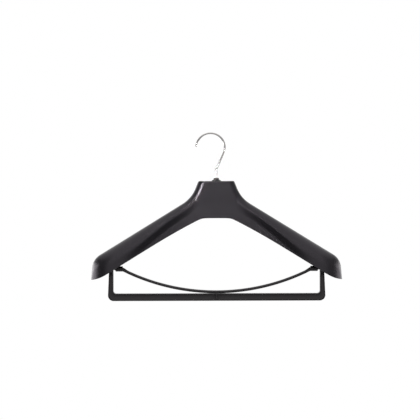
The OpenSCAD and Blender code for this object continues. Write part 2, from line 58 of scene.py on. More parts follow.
scene = bpy.context.scene
camera_data = bpy.data.cameras.new("camera")
camera_data.sensor_width = sensor_width
camera_data.lens = sensor_width * camera_distance / picture_width
camera_data.clip_end = far_clip
camera = bpy.data.objects.new("camera", camera_data)
camera.location = (camera_x, -camera_distance, camera_z)
camera.rotation_euler = (math.pi / 2, camera_roll, 0)
scene.collection.objects.link(camera)
scene.camera = camera
scene.view_settings.view_transform = "Standard"


def node(tree, kind, at, **values):
    """A shader node at a place on the sheet, with its settings and the values of its named inputs."""
    made = tree.nodes.new(kind)
    made.location = at
    for name, value in values.items():
        if name in made.inputs:
            made.inputs[name].default_value = value
        else:
            setattr(made, name, value)
    return made


def value_ramp(tree, at, stops):
    """A colour ramp of greys, from (place, grey) pairs."""
    made = tree.nodes.new("ShaderNodeValToRGB")
    made.location = at
    ramp_points = made.color_ramp.elements
    while len(ramp_points) < len(stops):
        ramp_points.new(0.5)
    for point, (place, grey) in zip(ramp_points, stops):
        point.position = place
        point.color = (grey, grey, grey, 1)
    return made


def connect(tree, *links):
    """Links on a sheet, each as (node, output, node, input)."""
    for source, output, target, socket in links:
        tree.links.new(source.outputs[output], target.inputs[socket])


# What the eye and glass see is plain white. What lights the hanger and shows in its gloss is a white cove
# behind it, a pale room in front that grows brighter overhead, and a dark flag low on each side of the
# hanger, of which the right one is greyer.
world = bpy.data.worlds.new("studio")
scene.world = world
world.use_nodes = True
sheet = world.node_tree
sheet.nodes.clear()
place = node(sheet, "ShaderNodeTexCoord", (-1300, 0))
split = node(sheet, "ShaderNodeSeparateXYZ", (-1100, 0))
front_to_back = node(sheet, "ShaderNodeMapRange", (-900, 160))
cove = value_ramp(sheet, (-700, 160), [(0, 0.0), (0.62, 0.0), (0.80, 1.0), (1, 1.0)])
down_to_up = node(sheet, "ShaderNodeMapRange", (-900, -100))
room_stops = [(0, 0.08), (0.35, 0.10), (0.44, 0.80), (0.75, 0.86), (0.93, 1.0), (1, 1.0)]
room = value_ramp(sheet, (-700, -100), room_stops)
left_to_right = node(sheet, "ShaderNodeMapRange", (-900, -360))
for direction in (front_to_back, down_to_up, left_to_right):
    direction.inputs["From Min"].default_value = -1
flag_stops = [(0, 0), (0.19, 0), (0.28, 1), (0.71, 1), (0.82, 0.30), (1, 0.26)]
flags = value_ramp(sheet, (-700, -360), flag_stops)
above_flags = value_ramp(sheet, (-700, -480), [(0, 0), (0.77, 0), (0.90, 1), (1, 1)])
open_room = node(sheet, "ShaderNodeMath", (-520, -420), operation="MAXIMUM")
flagged_room = node(sheet, "ShaderNodeMath", (-400, -200), operation="MULTIPLY")
studio_light = node(sheet, "ShaderNodeMath", (-200, 0), operation="MAXIMUM")
path = node(sheet, "ShaderNodeLightPath", (-500, 520))
seen = node(sheet, "ShaderNodeMath", (-300, 420), operation="MAXIMUM")
lit = node(sheet, "ShaderNodeBackground", (0, 0))
white = node(sheet, "ShaderNodeBackground", (0, 160))
white.inputs["Color"].default_value = (1, 1, 1, 1)
choose = node(sheet, "ShaderNodeMixShader", (240, 80))
world_out = node(sheet, "ShaderNodeOutputWorld", (460, 80))
connect(
    sheet,
    (place, "Generated", split, 0),
    (split, "Y", front_to_back, "Value"),
    (split, "Z", down_to_up, "Value"),
    (split, "X", left_to_right, "Value"),
    (front_to_back, "Result", cove, "Fac"),
    (down_to_up, "Result", room, "Fac"),
    (left_to_right, "Result", flags, "Fac"),
    (down_to_up, "Result", above_flags, "Fac"),
    (flags, "Color", open_room, 0),
    (above_flags, "Color", open_room, 1),
    (room, "Color", flagged_room, 0),
    (open_room, 0, flagged_room, 1),
    (cove, "Color", studio_light, 0),
    (flagged_room, 0, studio_light, 1),
    (studio_light, 0, lit, "Color"),
    (path, "Is Camera Ray", seen, 0),
    (path, "Is Transmission Ray", seen, 1),
    (seen, 0, choose, "Fac"),
    (lit, 0, choose, 1),
    (white, 0, choose, 2),
    (choose, 0, world_out, "Surface"),
)


def softbox(name, at, target, width, height, watts, spread=180):
    """A rectangular soft light that faces a point. A grid in front of it narrows its spread."""
    data = bpy.data.lights.new(name, "AREA")
    data.shape = "RECTANGLE"
    data.size = width
    data.size_y = height
    data.energy = watts
    data.spread = math.radians(spread)
    lamp = bpy.data.objects.new(name, data)
    lamp.location = at
    lamp.rotation_euler = (Vector(target) - Vector(at)).to_track_quat("-Z", "Y").to_euler()
    lamp.visible_camera = False
    scene.collection.objects.link(lamp)
    return lamp


# A soft lamp hangs overhead, and a broad one in front doesn't show in the gloss. A small gridded lamp
# makes the highlight left of the neck, and a card beside each end its bright strip.
hanger_middle = (0.01, 0, -0.18)
neck_left = (-0.02, -0.01, -0.1)
left_arm = (-0.2, 0.0, -0.22)
right_arm = (0.22, 0.0, -0.22)
softbox("overhead_softbox", (-0.1, 0.0, 1.3), hanger_middle, width=1.5, height=0.9, watts=2)
softbox("left_grid_light", (-1.12, -1.9, 0.36), neck_left, width=0.16, height=0.12, watts=0.075, spread=6)
fill = softbox("front_fill", (0, -2.4, 0.9), hanger_middle, width=1.6, height=1.2, watts=26)
fill.visible_glossy = False
softbox("left_card", (-0.75, 0.15, -0.215), left_arm, width=0.74, height=0.25, watts=2.7)
softbox("right_card", (0.77, 0.15, -0.215), right_arm, width=0.74, height=0.25, watts=1.6)

# The floor is pale and keeps the hanger's soft shadow. It fades to the backdrop's white at its rim, for the
# eye, the gloss and the clear plastic alike.
floor_grey = 0.74
floor_roughness = 0.8
fade_start = 0.5
fade_end = 0.98
floor_mesh = bpy.data.meshes.new("floor")
floor_shape = bmesh.new()
bmesh.ops.create_circle(floor_shape, cap_ends=True, segments=96, radius=floor_radius)
floor_shape.to_mesh(floor_mesh)
floor_shape.free()
floor = bpy.data.objects.new("floor", floor_mesh)
floor.location = (0, 0, floor_z)
scene.collection.objects.link(floor)
floor_paint = bpy.data.materials.new("pale_floor")
floor_paint.use_nodes = True
sheet = floor_paint.node_tree
matt = sheet.nodes["Principled BSDF"]
matt.inputs["Base Color"].default_value = (floor_grey, floor_grey, floor_grey, 1)
matt.inputs["Roughness"].default_value = floor_roughness
place = node(sheet, "ShaderNodeTexCoord", (-900, 0))
reach = node(sheet, "ShaderNodeVectorMath", (-700, 0), operation="LENGTH")
fade = node(sheet, "ShaderNodeMapRange", (-500, 0), interpolation_type="SMOOTHSTEP")
fade.inputs["From Min"].default_value = floor_radius * fade_start
fade.inputs["From Max"].default_value = floor_radius * fade_end
path = node(sheet, "ShaderNodeLightPath", (-900, 320))
mirrored = node(sheet, "ShaderNodeMath", (-700, 320), operation="MAXIMUM")
seen = node(sheet, "ShaderNodeMath", (-500, 320), operation="MAXIMUM")
seen_rim = node(sheet, "ShaderNodeMath", (-300, 200), operation="MULTIPLY")
glow = node(sheet, "ShaderNodeEmission", (0, -200))
mix = node(sheet, "ShaderNodeMixShader", (300, 100))
connect(
    sheet,
    (place, "Object", reach, 0),
    (reach, "Value", fade, "Value"),
    (fade, "Result", seen_rim, 0),
    (path, "Is Glossy Ray", mirrored, 0),
    (path, "Is Transmission Ray", mirrored, 1),
    (mirrored, 0, seen, 0),
    (path, "Is Camera Ray", seen, 1),
    (seen, 0, seen_rim, 1),
    (seen_rim, 0, mix, "Fac"),
    (matt, 0, mix, 1),
    (glow, 0, mix, 2),
    (mix, 0, sheet.nodes["Material Output"], "Surface"),
)
floor_mesh.materials.append(floor_paint)

# Body: one hollow injection-moulded shell of black styrene, open underneath, with cross ribs. Its sides are
# rounded over at the neck, and a shallow hollow divides the neck's face from the swelling shoulders.
MM = 0.001
shell_low, shell_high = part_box("body_shell")
axis_x = (shell_low.x + shell_high.x) / 2 / MM
tip_x = (shell_high.x - shell_low.x) / 2 / MM
neck_top = shell_high.z / MM
neck_flat = 58.6
neck_h = 65.3
neck_depth = 25
neck_r = 3.5
neck_side = math.radians(68)
flare_r = 58
arm_slope = math.radians(31.6)
arm_t = 35.4
arm_depth = 52
underside_w = 66.6
end_r = 29
end_slope = math.radians(85)
toe_r = 64
toe_slope = math.radians(6)
plan_r = 40
sweep = 10
valley = 4
wall = 2.4
rim_r = 0.5
low_blend_x = 115
low_blend_r = 840
corner_soft = 2.2
swell_from = 30
swell_to = tip_x - 15
plan_power = 1.6
round_share = 0.86
least_r = 0.4
least_depth = 0.1
steepest = math.radians(80)
rim_share = 0.07
hollow_in = (26, 84)
hollow_out = (115, 174)
hollow_edge_x = (60, 160)
hollow_edge_v = (0.54, 0.36)
hollow_fade = 0.2
hollow_least = 0.22

sin = math.sin
cos = math.cos
tan = math.tan
underside_z = neck_top - neck_h
low_apex = underside_z + underside_w / 2 * tan(arm_slope)
top_apex = low_apex + arm_t / cos(arm_slope)
toe_x = tip_x - toe_r * (sin(arm_slope) - sin(toe_slope))
toe_z = low_apex - toe_x * tan(arm_slope)
tip_z = toe_z - toe_r * (cos(toe_slope) - cos(arm_slope))
neck_cx = neck_flat / 2
neck_cz = neck_top - neck_r
side_x = neck_cx + neck_r * sin(neck_side)
side_z = neck_cz + neck_r * cos(neck_side)
side_l = (
    (side_z - top_apex)
    + side_x * tan(arm_slope)
    + flare_r * (cos(neck_side) - cos(arm_slope))
    + flare_r * (sin(neck_side) - sin(arm_slope)) * tan(arm_slope)
) / (sin(neck_side) - cos(neck_side) * tan(arm_slope))
flare_cx = side_x + side_l * cos(neck_side) + flare_r * sin(neck_side)
flare_cz = side_z - side_l * sin(neck_side) + flare_r * cos(neck_side)
flare_start = flare_cx - flare_r * sin(neck_side)
end_vx = (tip_z + tip_x * tan(end_slope) - top_apex) / (tan(end_slope) - tan(arm_slope))
end_vz = top_apex - end_vx * tan(arm_slope)
end_tan = end_r * tan((end_slope - arm_slope) / 2)
end_cx = end_vx - end_tan * cos(arm_slope) - end_r * sin(arm_slope)
end_cz = end_vz + end_tan * sin(arm_slope) - end_r * cos(arm_slope)


def even_steps(first, last, count):
    """Evenly spaced values from the first to the last."""
    return [first + (last - first) * i / count for i in range(count + 1)]


def smooth_step(a, b, x):
    """0 up to a, 1 from b on, and a smooth rise between them."""
    t = min(1, max(0, (x - a) / (b - a)))
    return t * t * (3 - 2 * t)


def low_z(x):
    """Height of the body's underside at a distance x from its middle."""
    if x > toe_x:
        lean = sin(arm_slope) - (x - toe_x) / toe_r
        return toe_z - toe_r * (math.sqrt(1 - lean * lean) - cos(arm_slope))
    flat = -underside_z
    slope = -low_apex + x * tan(arm_slope) + max(0, low_blend_x - x) ** 2 / (2 * low_blend_r)
    return -(flat + slope + math.hypot(flat - slope, corner_soft)) / 2


def skin_tip(w):
    """Distance from the middle to the tip of a skin set w inside the outer one."""
    return tip_x - w / sin(end_slope)


def flare_out(w):
    return flare_cx - (flare_r + w) * sin(arm_slope)


def end_in(w):
    return end_cx + (end_r - w) * sin(arm_slope)


def end_out(w):
    return end_cx + (end_r - w) * sin(end_slope)


def stations(w):
    """Places along half the body at which a skin has a section, from the middle to near the tip."""
    flat_steps, corner_steps, side_steps, flare_steps = 12, 10, 14, 24
    arm_steps, end_steps, tip_steps = 46, 16, 18
    corner_end = neck_cx + (neck_r - w) * sin(neck_side)
    side_end = flare_cx - (flare_r + w) * sin(neck_side)
    places = even_steps(0, neck_cx, flat_steps)[:-1]
    places += [neck_cx + (neck_r - w) * sin(turn) for turn in even_steps(0, neck_side, corner_steps)]
    places += even_steps(corner_end, side_end, side_steps)[1:]
    for turn in even_steps(neck_side, arm_slope, flare_steps)[1:]:
        places.append(flare_cx - (flare_r + w) * sin(turn))
    places += even_steps(flare_out(w), end_in(w), arm_steps)[1:]
    for turn in even_steps(arm_slope, end_slope, end_steps)[1:]:
        places.append(end_cx + (end_r - w) * sin(turn))
    for i in range(1, tip_steps + 1):
        share = 1 - (1 - i / (tip_steps + 1)) ** 2
        places.append(end_out(w) + (skin_tip(w) - end_out(w)) * share)
    return places


def top_z(x, w):
    """Height of the top of a skin set w inside the outer one."""
    if x <= neck_cx:
        return neck_top - w
    if x <= neck_cx + (neck_r - w) * sin(neck_side):
        return neck_cz + math.sqrt(max(0, (neck_r - w) ** 2 - (x - neck_cx) ** 2))
    if x <= flare_cx - (flare_r + w) * sin(neck_side):
        return neck_cz + (neck_r - w) / cos(neck_side) - (x - neck_cx) * tan(neck_side)
    if x <= flare_out(w):
        return flare_cz - math.sqrt((flare_r + w) ** 2 - (flare_cx - x) ** 2)
    if x <= end_in(w):
        return top_apex - w / cos(arm_slope) - x * tan(arm_slope)
    if x <= end_out(w):
        return end_cz + math.sqrt(max(0, (end_r - w) ** 2 - (x - end_cx) ** 2))
    return low_z(skin_tip(w)) + (skin_tip(w) - x) * tan(end_slope)


def top_slope(x):
    """Slope of the top of the outer skin."""
    if x <= neck_cx:
        return 0
    if x <= side_x:
        return math.asin((x - neck_cx) / neck_r)
    if x <= flare_start:
        return neck_side
    if x <= flare_out(0):
        return math.asin((flare_cx - x) / flare_r)
    if x <= end_in(0):
        return arm_slope
    if x <= end_out(0):
        return math.asin((x - end_cx) / end_r)
    return end_slope


def mid_y(x):
    """The arms sweep forward towards their tips."""
    return -sweep * (x / tip_x) ** 2


def half_depth(x, w):
    start = tip_x - plan_r
    t = min(1, max(0, (x - start) / (skin_tip(w) - start)))
    plan_end = (1 - t**plan_power) ** (1 / plan_power)
    swell = smooth_step(swell_from, swell_to, x)
    return (neck_depth / 2 + (arm_depth - neck_depth) / 2 * swell - w) * plan_end


def dome(distance, r):
    """Share of the full depth left at a distance from an edge that is rounded to a radius."""
    t = 1 - min(1, max(0, distance) / r)
    return math.sqrt(max(0, 1 - t * t))


def side_line(z, w):
    return side_x - w / sin(neck_side) + (side_z - z) / tan(neck_side)


def round_reach(x, w):
    """How far a section's rounding reaches down from the top."""
    room = top_z(x, w) - low_z(x)
    if x < flare_start:
        side_reach = (x + (neck_depth / 2 - w) / sin(neck_side) - side_line(top_z(x, w), w)) * tan(neck_side)
        reach = max(neck_r, side_reach)
    else:
        reach = half_depth(x, w) / cos(min(steepest, top_slope(x)))
    return min(reach, round_share * room)


def face_depth(x, z, w):
    """Half the depth of a section at a height, with the hollow below the shoulder taken off.

    The least depth keeps a skin's front and rear apart just under its top.
    """
    d = half_depth(x, w)
    top = top_z(x, w)
    low = low_z(x)
    if x < flare_start:
        r = max(least_r, neck_r - w)
        full = min(d - r + r * dome(top - z, r), d * dome((side_line(z, w) - x) * sin(neck_side), d))
    else:
        full = d * dome(top - z, round_reach(x, w))
    full = max(full, min(least_depth, top - z))
    edge = hollow_edge_v[0] - hollow_edge_v[1] * smooth_step(*hollow_edge_x, x)
    rise = hollow_least + (1 - hollow_least) * smooth_step(*hollow_in, x)
    along = rise * (1 - smooth_step(*hollow_out, x))
    share = (z - low) / max(top - low, 1e-6)
    return full - valley * along * (1 - smooth_step(edge - hollow_fade, edge + hollow_fade, share))


def rim_radius(x, w):
    return min(rim_r, rim_share * (top_z(x, w) - low_z(x)))


def half_section(x, w, foot):
    """Points of a skin's section from its rim up to its top, as (half depth, height)."""
    wall_steps, round_steps = 30, 24
    low = low_z(x) + foot
    top = top_z(x, w)
    shoulder = max(low, top - round_reach(x, w))
    heights = even_steps(low, shoulder, wall_steps)
    heights += [shoulder + (top - shoulder) * sin(a) for a in even_steps(0, math.pi / 2, round_steps)[1:]]
    return [(face_depth(x, z, w), z) for z in heights]


def rim_tracks():
    """The rounded rim of the wall, from the outer skin to the inner one, as (inset, height)."""
    corner_steps = 3
    turns = even_steps(0, math.pi / 2, corner_steps)
    outer = [(rim_r * (1 - cos(a)), rim_r * (1 - sin(a))) for a in turns]
    inner = [(wall - w, h) for w, h in reversed(outer)]
    return outer + inner


def to_frame(x, y, z):
    """A point in millimetres from the hanger's middle plane, as a place in the frame."""
    return ((axis_x + x) * MM, y * MM, z * MM)


def mesh_piece(name, points, faces, crease=35):
    """A new object from points in metres and faces, smooth apart from edges sharper than the crease."""
    weld = 1e-7
    mesh = bpy.data.meshes.new(name)
    mesh.from_pydata(points, [], faces)
    shape = bmesh.new()
    shape.from_mesh(mesh)
    bmesh.ops.remove_doubles(shape, verts=shape.verts, dist=weld)
    bmesh.ops.recalc_face_normals(shape, faces=shape.faces)
    shape.to_mesh(mesh)
    shape.free()
    mesh.shade_smooth()
    mesh.set_sharp_from_angle(angle=math.radians(crease))
    piece = bpy.data.objects.new(name, mesh)
    scene.collection.objects.link(piece)
    return piece


def tube_faces(rows, size, closed=False):
    """Four-sided faces between rings of points. A closed tube joins its last ring to its first."""
    faces = []
    for i in range(rows if closed else rows - 1):
        a = i * size
        b = (i + 1) % rows * size
        for j in range(size):
            k = (j + 1) % size
            faces.append((a + j, a + k, b + k, b + j))
    return faces


def end_faces(total, size):
    """The two faces that close a tube of rings of points."""
    return [tuple(range(size)), tuple(range(total - 1, total - size - 1, -1))]


def carve(piece, tool, how, crease=35):
    """Adds a second solid to a piece, or cuts it away, and drops the second solid."""
    step = piece.modifiers.new("carve", "BOOLEAN")
    step.object = tool
    step.operation = how
    step.solver = "MANIFOLD"
    view = bpy.context.evaluated_depsgraph_get()
    carved = bpy.data.meshes.new_from_object(piece.evaluated_get(view))
    piece.modifiers.clear()
    old = piece.data
    piece.data = carved
    carved.name = old.name
    bpy.data.meshes.remove(old)
    bpy.data.objects.remove(tool)
    piece.data.shade_smooth()
    piece.data.set_sharp_from_angle(angle=math.radians(crease))


def coat(piece, material):
    """One material for a whole piece."""
    piece.data.materials.clear()
    piece.data.materials.append(material)


def moulded_skin():
    """The body's outer and inner skins, joined by the rounded rim."""
    tracks = rim_tracks()
    track_places = [stations(w) for w, h in tracks]
    outer_places = track_places[0]
    inner_places = track_places[-1]
    count = len(outer_places)

    def ring(i, side):
        loop = []
        for skin_w, x in ((0, outer_places[i]), (wall, inner_places[i])):
            half = half_section(x, skin_w, rim_radius(x, skin_w))
            front = [(x, mid_y(x) - d, z) for d, z in half]
            crown = [(x, mid_y(x), half[-1][1])]
            rear = [(x, mid_y(x) + d, z) for d, z in reversed(half)]
            loop.append(front + crown + rear)
        outer, inner = loop
        rims = {}
        for face in (-1, 1):
            rims[face] = []
            for (w, h), places in list(zip(tracks, track_places))[1:-1]:
                x = places[i]
                z = low_z(x) + h * rim_radius(x, w) / rim_r
                rims[face].append((x, mid_y(x) + face * face_depth(x, z, w), z))
        points = outer + rims[1] + inner[::-1] + rims[-1][::-1]
        return [to_frame(side * x, y, z) for x, y, z in points]

    rings = [ring(i, -1) for i in range(count - 1, 0, -1)]
    rings += [ring(i, 1) for i in range(count)]
    size = len(rings[0])
    points = [p for loop in rings for p in loop]
    faces = tube_faces(len(rings), size)

    skin_size = 2 * len(half_section(0, 0, rim_r)) + 1
    rim_size = len(tracks) - 2
    for side, first in ((-1, 0), (1, (len(rings) - 1) * size)):
        outer = [first + j for j in range(skin_size)]
        rear_rim = [first + skin_size + j for j in range(rim_size)]
        inner = [first + skin_size + rim_size + j for j in range(skin_size)]
        front_rim = [first + 2 * skin_size + rim_size + j for j in range(rim_size)]
        tips = []
        for w, h in tracks:
            x = skin_tip(w)
            tips.append(len(points))
            points.append(to_frame(side * x, mid_y(x), low_z(x) + h * rim_radius(x, w) / rim_r))
        faces += [(outer[j], outer[j + 1], tips[0]) for j in range(skin_size - 1)]
        faces += [(inner[j], inner[j + 1], tips[-1]) for j in range(skin_size - 1)]
        front = [outer[0]] + front_rim[::-1] + [inner[-1]]
        rear = [outer[-1]] + rear_rim + [inner[0]]
        for edge in (front, rear):
            faces += [(edge[k], edge[k + 1], tips[k + 1], tips[k]) for k in range(len(tips) - 1)]
    return mesh_piece("body_shell_skin", points, faces)


body = moulded_skin()


def prism(name, outline, thickness, place_of):
    """A flat plate from an outline, as two faces at plus and minus half its thickness and its edges."""
    count = len(outline)
    points = [place_of(u, v, t) for t in (-thickness / 2, thickness / 2) for u, v in outline]
    faces = [tuple(range(count)), tuple(range(2 * count - 1, count - 1, -1))]
    faces += [(i, (i + 1) % count, count + (i + 1) % count, count + i) for i in range(count)]
    return mesh_piece(name, points, faces)


def circle(sides):
    """Cosine and sine at equal steps round a circle."""
    turns = [2 * math.pi * k / sides for k in range(sides)]
    return [(cos(a), sin(a)) for a in turns]


def turned(name, outline, centre, axis="Z", sides=64, ring=False):
    """A turned solid: (radius, height) pairs from one end to the other, round an axis through a centre.

    The outline of a ring goes all the way round its section.
    """
    points = []
    for r, h in outline:
        for across, up in circle(sides):
            u, v = r * across, r * up
            local = (u, v, h) if axis == "Z" else (h, u, v)
            points.append(tuple((c + d) * MM for c, d in zip(centre, local)))
    faces = tube_faces(len(outline), sides, closed=ring)
    if not ring:
        faces += end_faces(len(points), sides)
    return mesh_piece(name, points, faces)


# The cross ribs, the leg sockets and the hook's boss are part of the same moulding.
bar_low, bar_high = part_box("trouser_bar")
bar_w = 382.6
leg_w = 7.6
leg_taper = 1.7
bar_depth = 12
bar_h = 12.8
bar_y = (bar_low.y + bar_high.y) / 2 / MM
bar_bottom = bar_low.z / MM
bar_top = bar_bottom + bar_h
leg_z = bar_high.z / MM
foot_out = bar_w / 2
leg_out = foot_out - leg_taper
leg_in = leg_out - leg_w
leg_top = 22
pivot_z = leg_z - leg_top
lug_d = 9.2
rib_t = 1.8
rib_rise = 3
rib_places = (16, 46, 76, 106, 136)
socket_fit = 0.15
socket_wall = 2
mouth_gap = 1.4
socket_mouth = pivot_z + lug_d / 2 + mouth_gap
barb_w = 6
barb_h = 3.4
barb_drop = 6
barb_z = leg_z - barb_drop
window_gap = 0.4
spigot_d = 9
boss_wall = 2.6
bead_h = 1.4
bead_gap = 0.2
seat_fit = 0.03
spigot_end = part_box("swivel_collar")[0].z / MM
boss_end = spigot_end + bead_h + bead_gap


def rib_plate(x, side, thickness, foot):
    """A plate across the arm, let into the wall by half the wall's thickness."""
    half = half_section(x, wall / 2, 0)
    y = mid_y(x)
    outline = [(y - d, max(z, foot)) for d, z in half]
    outline += [(y + d, max(z, foot)) for d, z in reversed(half[:-1])]
    return prism("rib", outline, thickness, lambda u, v, t: to_frame(side * x + t, u, v))


def roof_z(x, y):
    """Height of the middle of an arm's wall at a distance y to the side of the section's middle."""
    share = y / half_depth(x, wall / 2)
    return top_z(x, wall / 2) - round_reach(x, wall / 2) * (1 - math.sqrt(1 - share * share))


for side in (-1, 1):
    for x in rib_places:
        carve(body, rib_plate(x, side, rib_t, low_z(x) + rib_rise), "UNION")
    for x in (leg_in - socket_fit - socket_wall / 2, leg_out + socket_fit + socket_wall / 2):
        carve(body, rib_plate(x, side, socket_wall, socket_mouth), "UNION")
    for face in (-1, 1):
        off = bar_depth / 2 + socket_fit + socket_wall / 2
        x1 = leg_in - socket_fit - socket_wall
        x2 = leg_out + socket_fit + socket_wall
        cheek = [(x1, socket_mouth), (x2, socket_mouth), (x2, roof_z(x2, off)), (x1, roof_z(x1, off))]
        plate_y = bar_y + face * off
        plate = prism("cheek", cheek, socket_wall, lambda u, v, t: to_frame(side * u, plate_y + t, v))
        carve(body, plate, "UNION")
boss_top = neck_top - wall / 2
boss_r = spigot_d / 2 + boss_wall
lead_in = 0.5
boss = [(boss_r - lead_in, boss_end), (boss_r, boss_end + lead_in), (boss_r, boss_top)]
carve(body, turned("boss", boss, (axis_x, 0, 0)), "UNION")
web_y = neck_depth / 2 - wall / 2
web_foot = boss_end + 2 * lead_in
web = [(-web_y, web_foot), (web_y, web_foot), (web_y, boss_top), (-web_y, boss_top)]
carve(body, prism("web", web, rib_t, lambda u, v, t: to_frame(t, u, v)), "UNION")
bore_r = spigot_d / 2 + seat_fit
overcut = 1
bore = [(bore_r, boss_end - overcut), (bore_r, neck_top - lead_in)]
bore += [(bore_r + lead_in, neck_top), (bore_r + lead_in, neck_top + overcut)]
carve(body, turned("bore", bore, (axis_x, 0, 0)), "DIFFERENCE")
for side in (-1, 1):
    half_w = barb_w / 2 + window_gap
    half_h = barb_h / 2 + window_gap
    hole = [(bar_y - half_w, barb_z - half_h), (bar_y + half_w, barb_z - half_h)]
    hole += [(bar_y + half_w, barb_z + half_h), (bar_y - half_w, barb_z + half_h)]
    window_x = side * (leg_out + socket_fit + socket_wall / 2)
    window = prism("window", hole, socket_wall + overcut, lambda u, v, t: to_frame(window_x + t, u, v))
    carve(body, window, "DIFFERENCE")

# Marks that every moulded plastic piece shares: the fine spark-eroded grain of the mould, faint flow marks
# from filling it, and light scuffs, which vary the sheen.
grain_strength = 0.14
grain_depth = 0.00003
moulded = bpy.data.node_groups.new("moulded_surface", "ShaderNodeTree")
for name, kind, value in (
    ("Colour", "NodeSocketColor", (0.03, 0.03, 0.03, 1)),
    ("Flow Colour", "NodeSocketColor", (0.04, 0.04, 0.04, 1)),
    ("Roughness", "NodeSocketFloat", 0.35),
    ("Roughness Spread", "NodeSocketFloat", 0.08),
    ("Grain Size", "NodeSocketFloat", 900.0),
    ("Flow Size", "NodeSocketFloat", 22.0),
):
    moulded.interface.new_socket(name=name, in_out="INPUT", socket_type=kind).default_value = value
for name, kind in (
    ("Colour", "NodeSocketColor"),
    ("Roughness", "NodeSocketFloat"),
    ("Height", "NodeSocketFloat"),
):
    moulded.interface.new_socket(name=name, in_out="OUTPUT", socket_type=kind)
given = node(moulded, "NodeGroupInput", (-1100, 0))
result = node(moulded, "NodeGroupOutput", (500, 0))
place = node(moulded, "ShaderNodeTexCoord", (-1100, -320))
grain = node(moulded, "ShaderNodeTexNoise", (-800, -200), Detail=3.0, Roughness=0.6)
stretch = node(moulded, "ShaderNodeMapping", (-900, 260), Scale=(0.45, 1.0, 1.6))
flow = node(moulded, "ShaderNodeTexNoise", (-700, 260), Detail=4.0, Roughness=0.55, Distortion=0.8)
flow_from, flow_full = 0.38, 0.68
flow_mask = node(moulded, "ShaderNodeMapRange", (-480, 260))
flow_mask.inputs["From Min"].default_value = flow_from
flow_mask.inputs["From Max"].default_value = flow_full
scuff = node(moulded, "ShaderNodeTexNoise", (-700, 0), Scale=160.0, Detail=5.0, Roughness=0.7)
tint = node(moulded, "ShaderNodeMix", (-200, 300), data_type="RGBA")
noise_middle = 0.5
spread = node(moulded, "ShaderNodeMath", (-420, 0), operation="SUBTRACT")
spread.inputs[1].default_value = noise_middle
spread_sum = node(moulded, "ShaderNodeMath", (-420, -60), operation="ADD")
blend_flow = node(moulded, "ShaderNodeMath", (-560, 120), operation="SUBTRACT")
blend_flow.inputs[1].default_value = noise_middle
amount = node(moulded, "ShaderNodeMath", (-200, 40), operation="MULTIPLY_ADD")
connect(
    moulded,
    (place, "Object", grain, "Vector"),
    (place, "Object", stretch, "Vector"),
    (place, "Object", scuff, "Vector"),
    (stretch, 0, flow, "Vector"),
    (given, "Grain Size", grain, "Scale"),
    (given, "Flow Size", flow, "Scale"),
    (flow, "Fac", flow_mask, "Value"),
    (flow_mask, "Result", tint, "Factor"),
    (given, "Colour", tint, "A"),
    (given, "Flow Colour", tint, "B"),
    (scuff, "Fac", spread, 0),
    (flow, "Fac", blend_flow, 0),
    (spread, 0, spread_sum, 0),
    (blend_flow, 0, spread_sum, 1),
    (spread_sum, 0, amount, 0),
    (given, "Roughness Spread", amount, 1),
    (given, "Roughness", amount, 2),
    (tint, "Result", result, "Colour"),
    (amount, 0, result, "Roughness"),
    (grain, "Fac", result, "Height"),
)


def moulded_plastic(name, colour, flow_colour, gloss_tint, roughness, spread, grain_size, flow_size):
    """A moulded plastic with its own colour, sheen and grain."""
    made = bpy.data.materials.new(name)
    made.use_nodes = True
    sheet = made.node_tree
    shader = sheet.nodes["Principled BSDF"]
    shader.inputs["Specular Tint"].default_value = (*gloss_tint, 1)
    marks = node(sheet, "ShaderNodeGroup", (-500, 100), node_tree=moulded)
    for socket, value in (
        ("Colour", (*colour, 1)),
        ("Flow Colour", (*flow_colour, 1)),
        ("Roughness", roughness),
        ("Roughness Spread", spread),
        ("Grain Size", grain_size),
        ("Flow Size", flow_size),
    ):
        marks.inputs[socket].default_value = value
    relief = node(sheet, "ShaderNodeBump", (-220, -160), Strength=grain_strength, Distance=grain_depth)
    connect(
        sheet,
        (marks, "Colour", shader, "Base Color"),
        (marks, "Roughness", shader, "Roughness"),
        (marks, "Height", relief, "Height"),
        (relief, "Normal", shader, "Normal"),
    )
    return made


body_plastic = moulded_plastic(
    "body_plastic",
    colour=(0.0096, 0.0090, 0.0106),
    flow_colour=(0.0118, 0.0110, 0.0130),
    gloss_tint=(0.98, 0.90, 1.0),
    roughness=0.33,
    spread=0.08,
    grain_size=900.0,
    flow_size=20.0,
)
coat(body, body_plastic)
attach(body, "hanger")
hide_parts("body_shell")

# Trouser bar: one black polypropylene moulding, a bar with two legs. Both faces are recessed inside a raised
# rim. The legs snap up into the arms' sockets, and the bow's pins turn in a hole through each of them.
bar_r = 10
bar_inner_r = 5
rim_w = 1.7
rim_d = 1.6
rim_slope = 0.5
mark_w = 2
edge_r = 0.45
foot_r = 0.3
wall_lean = 0.15
pin_d = 4
turn_fit = 0.08
barb = 1.2
barb_lead = 2


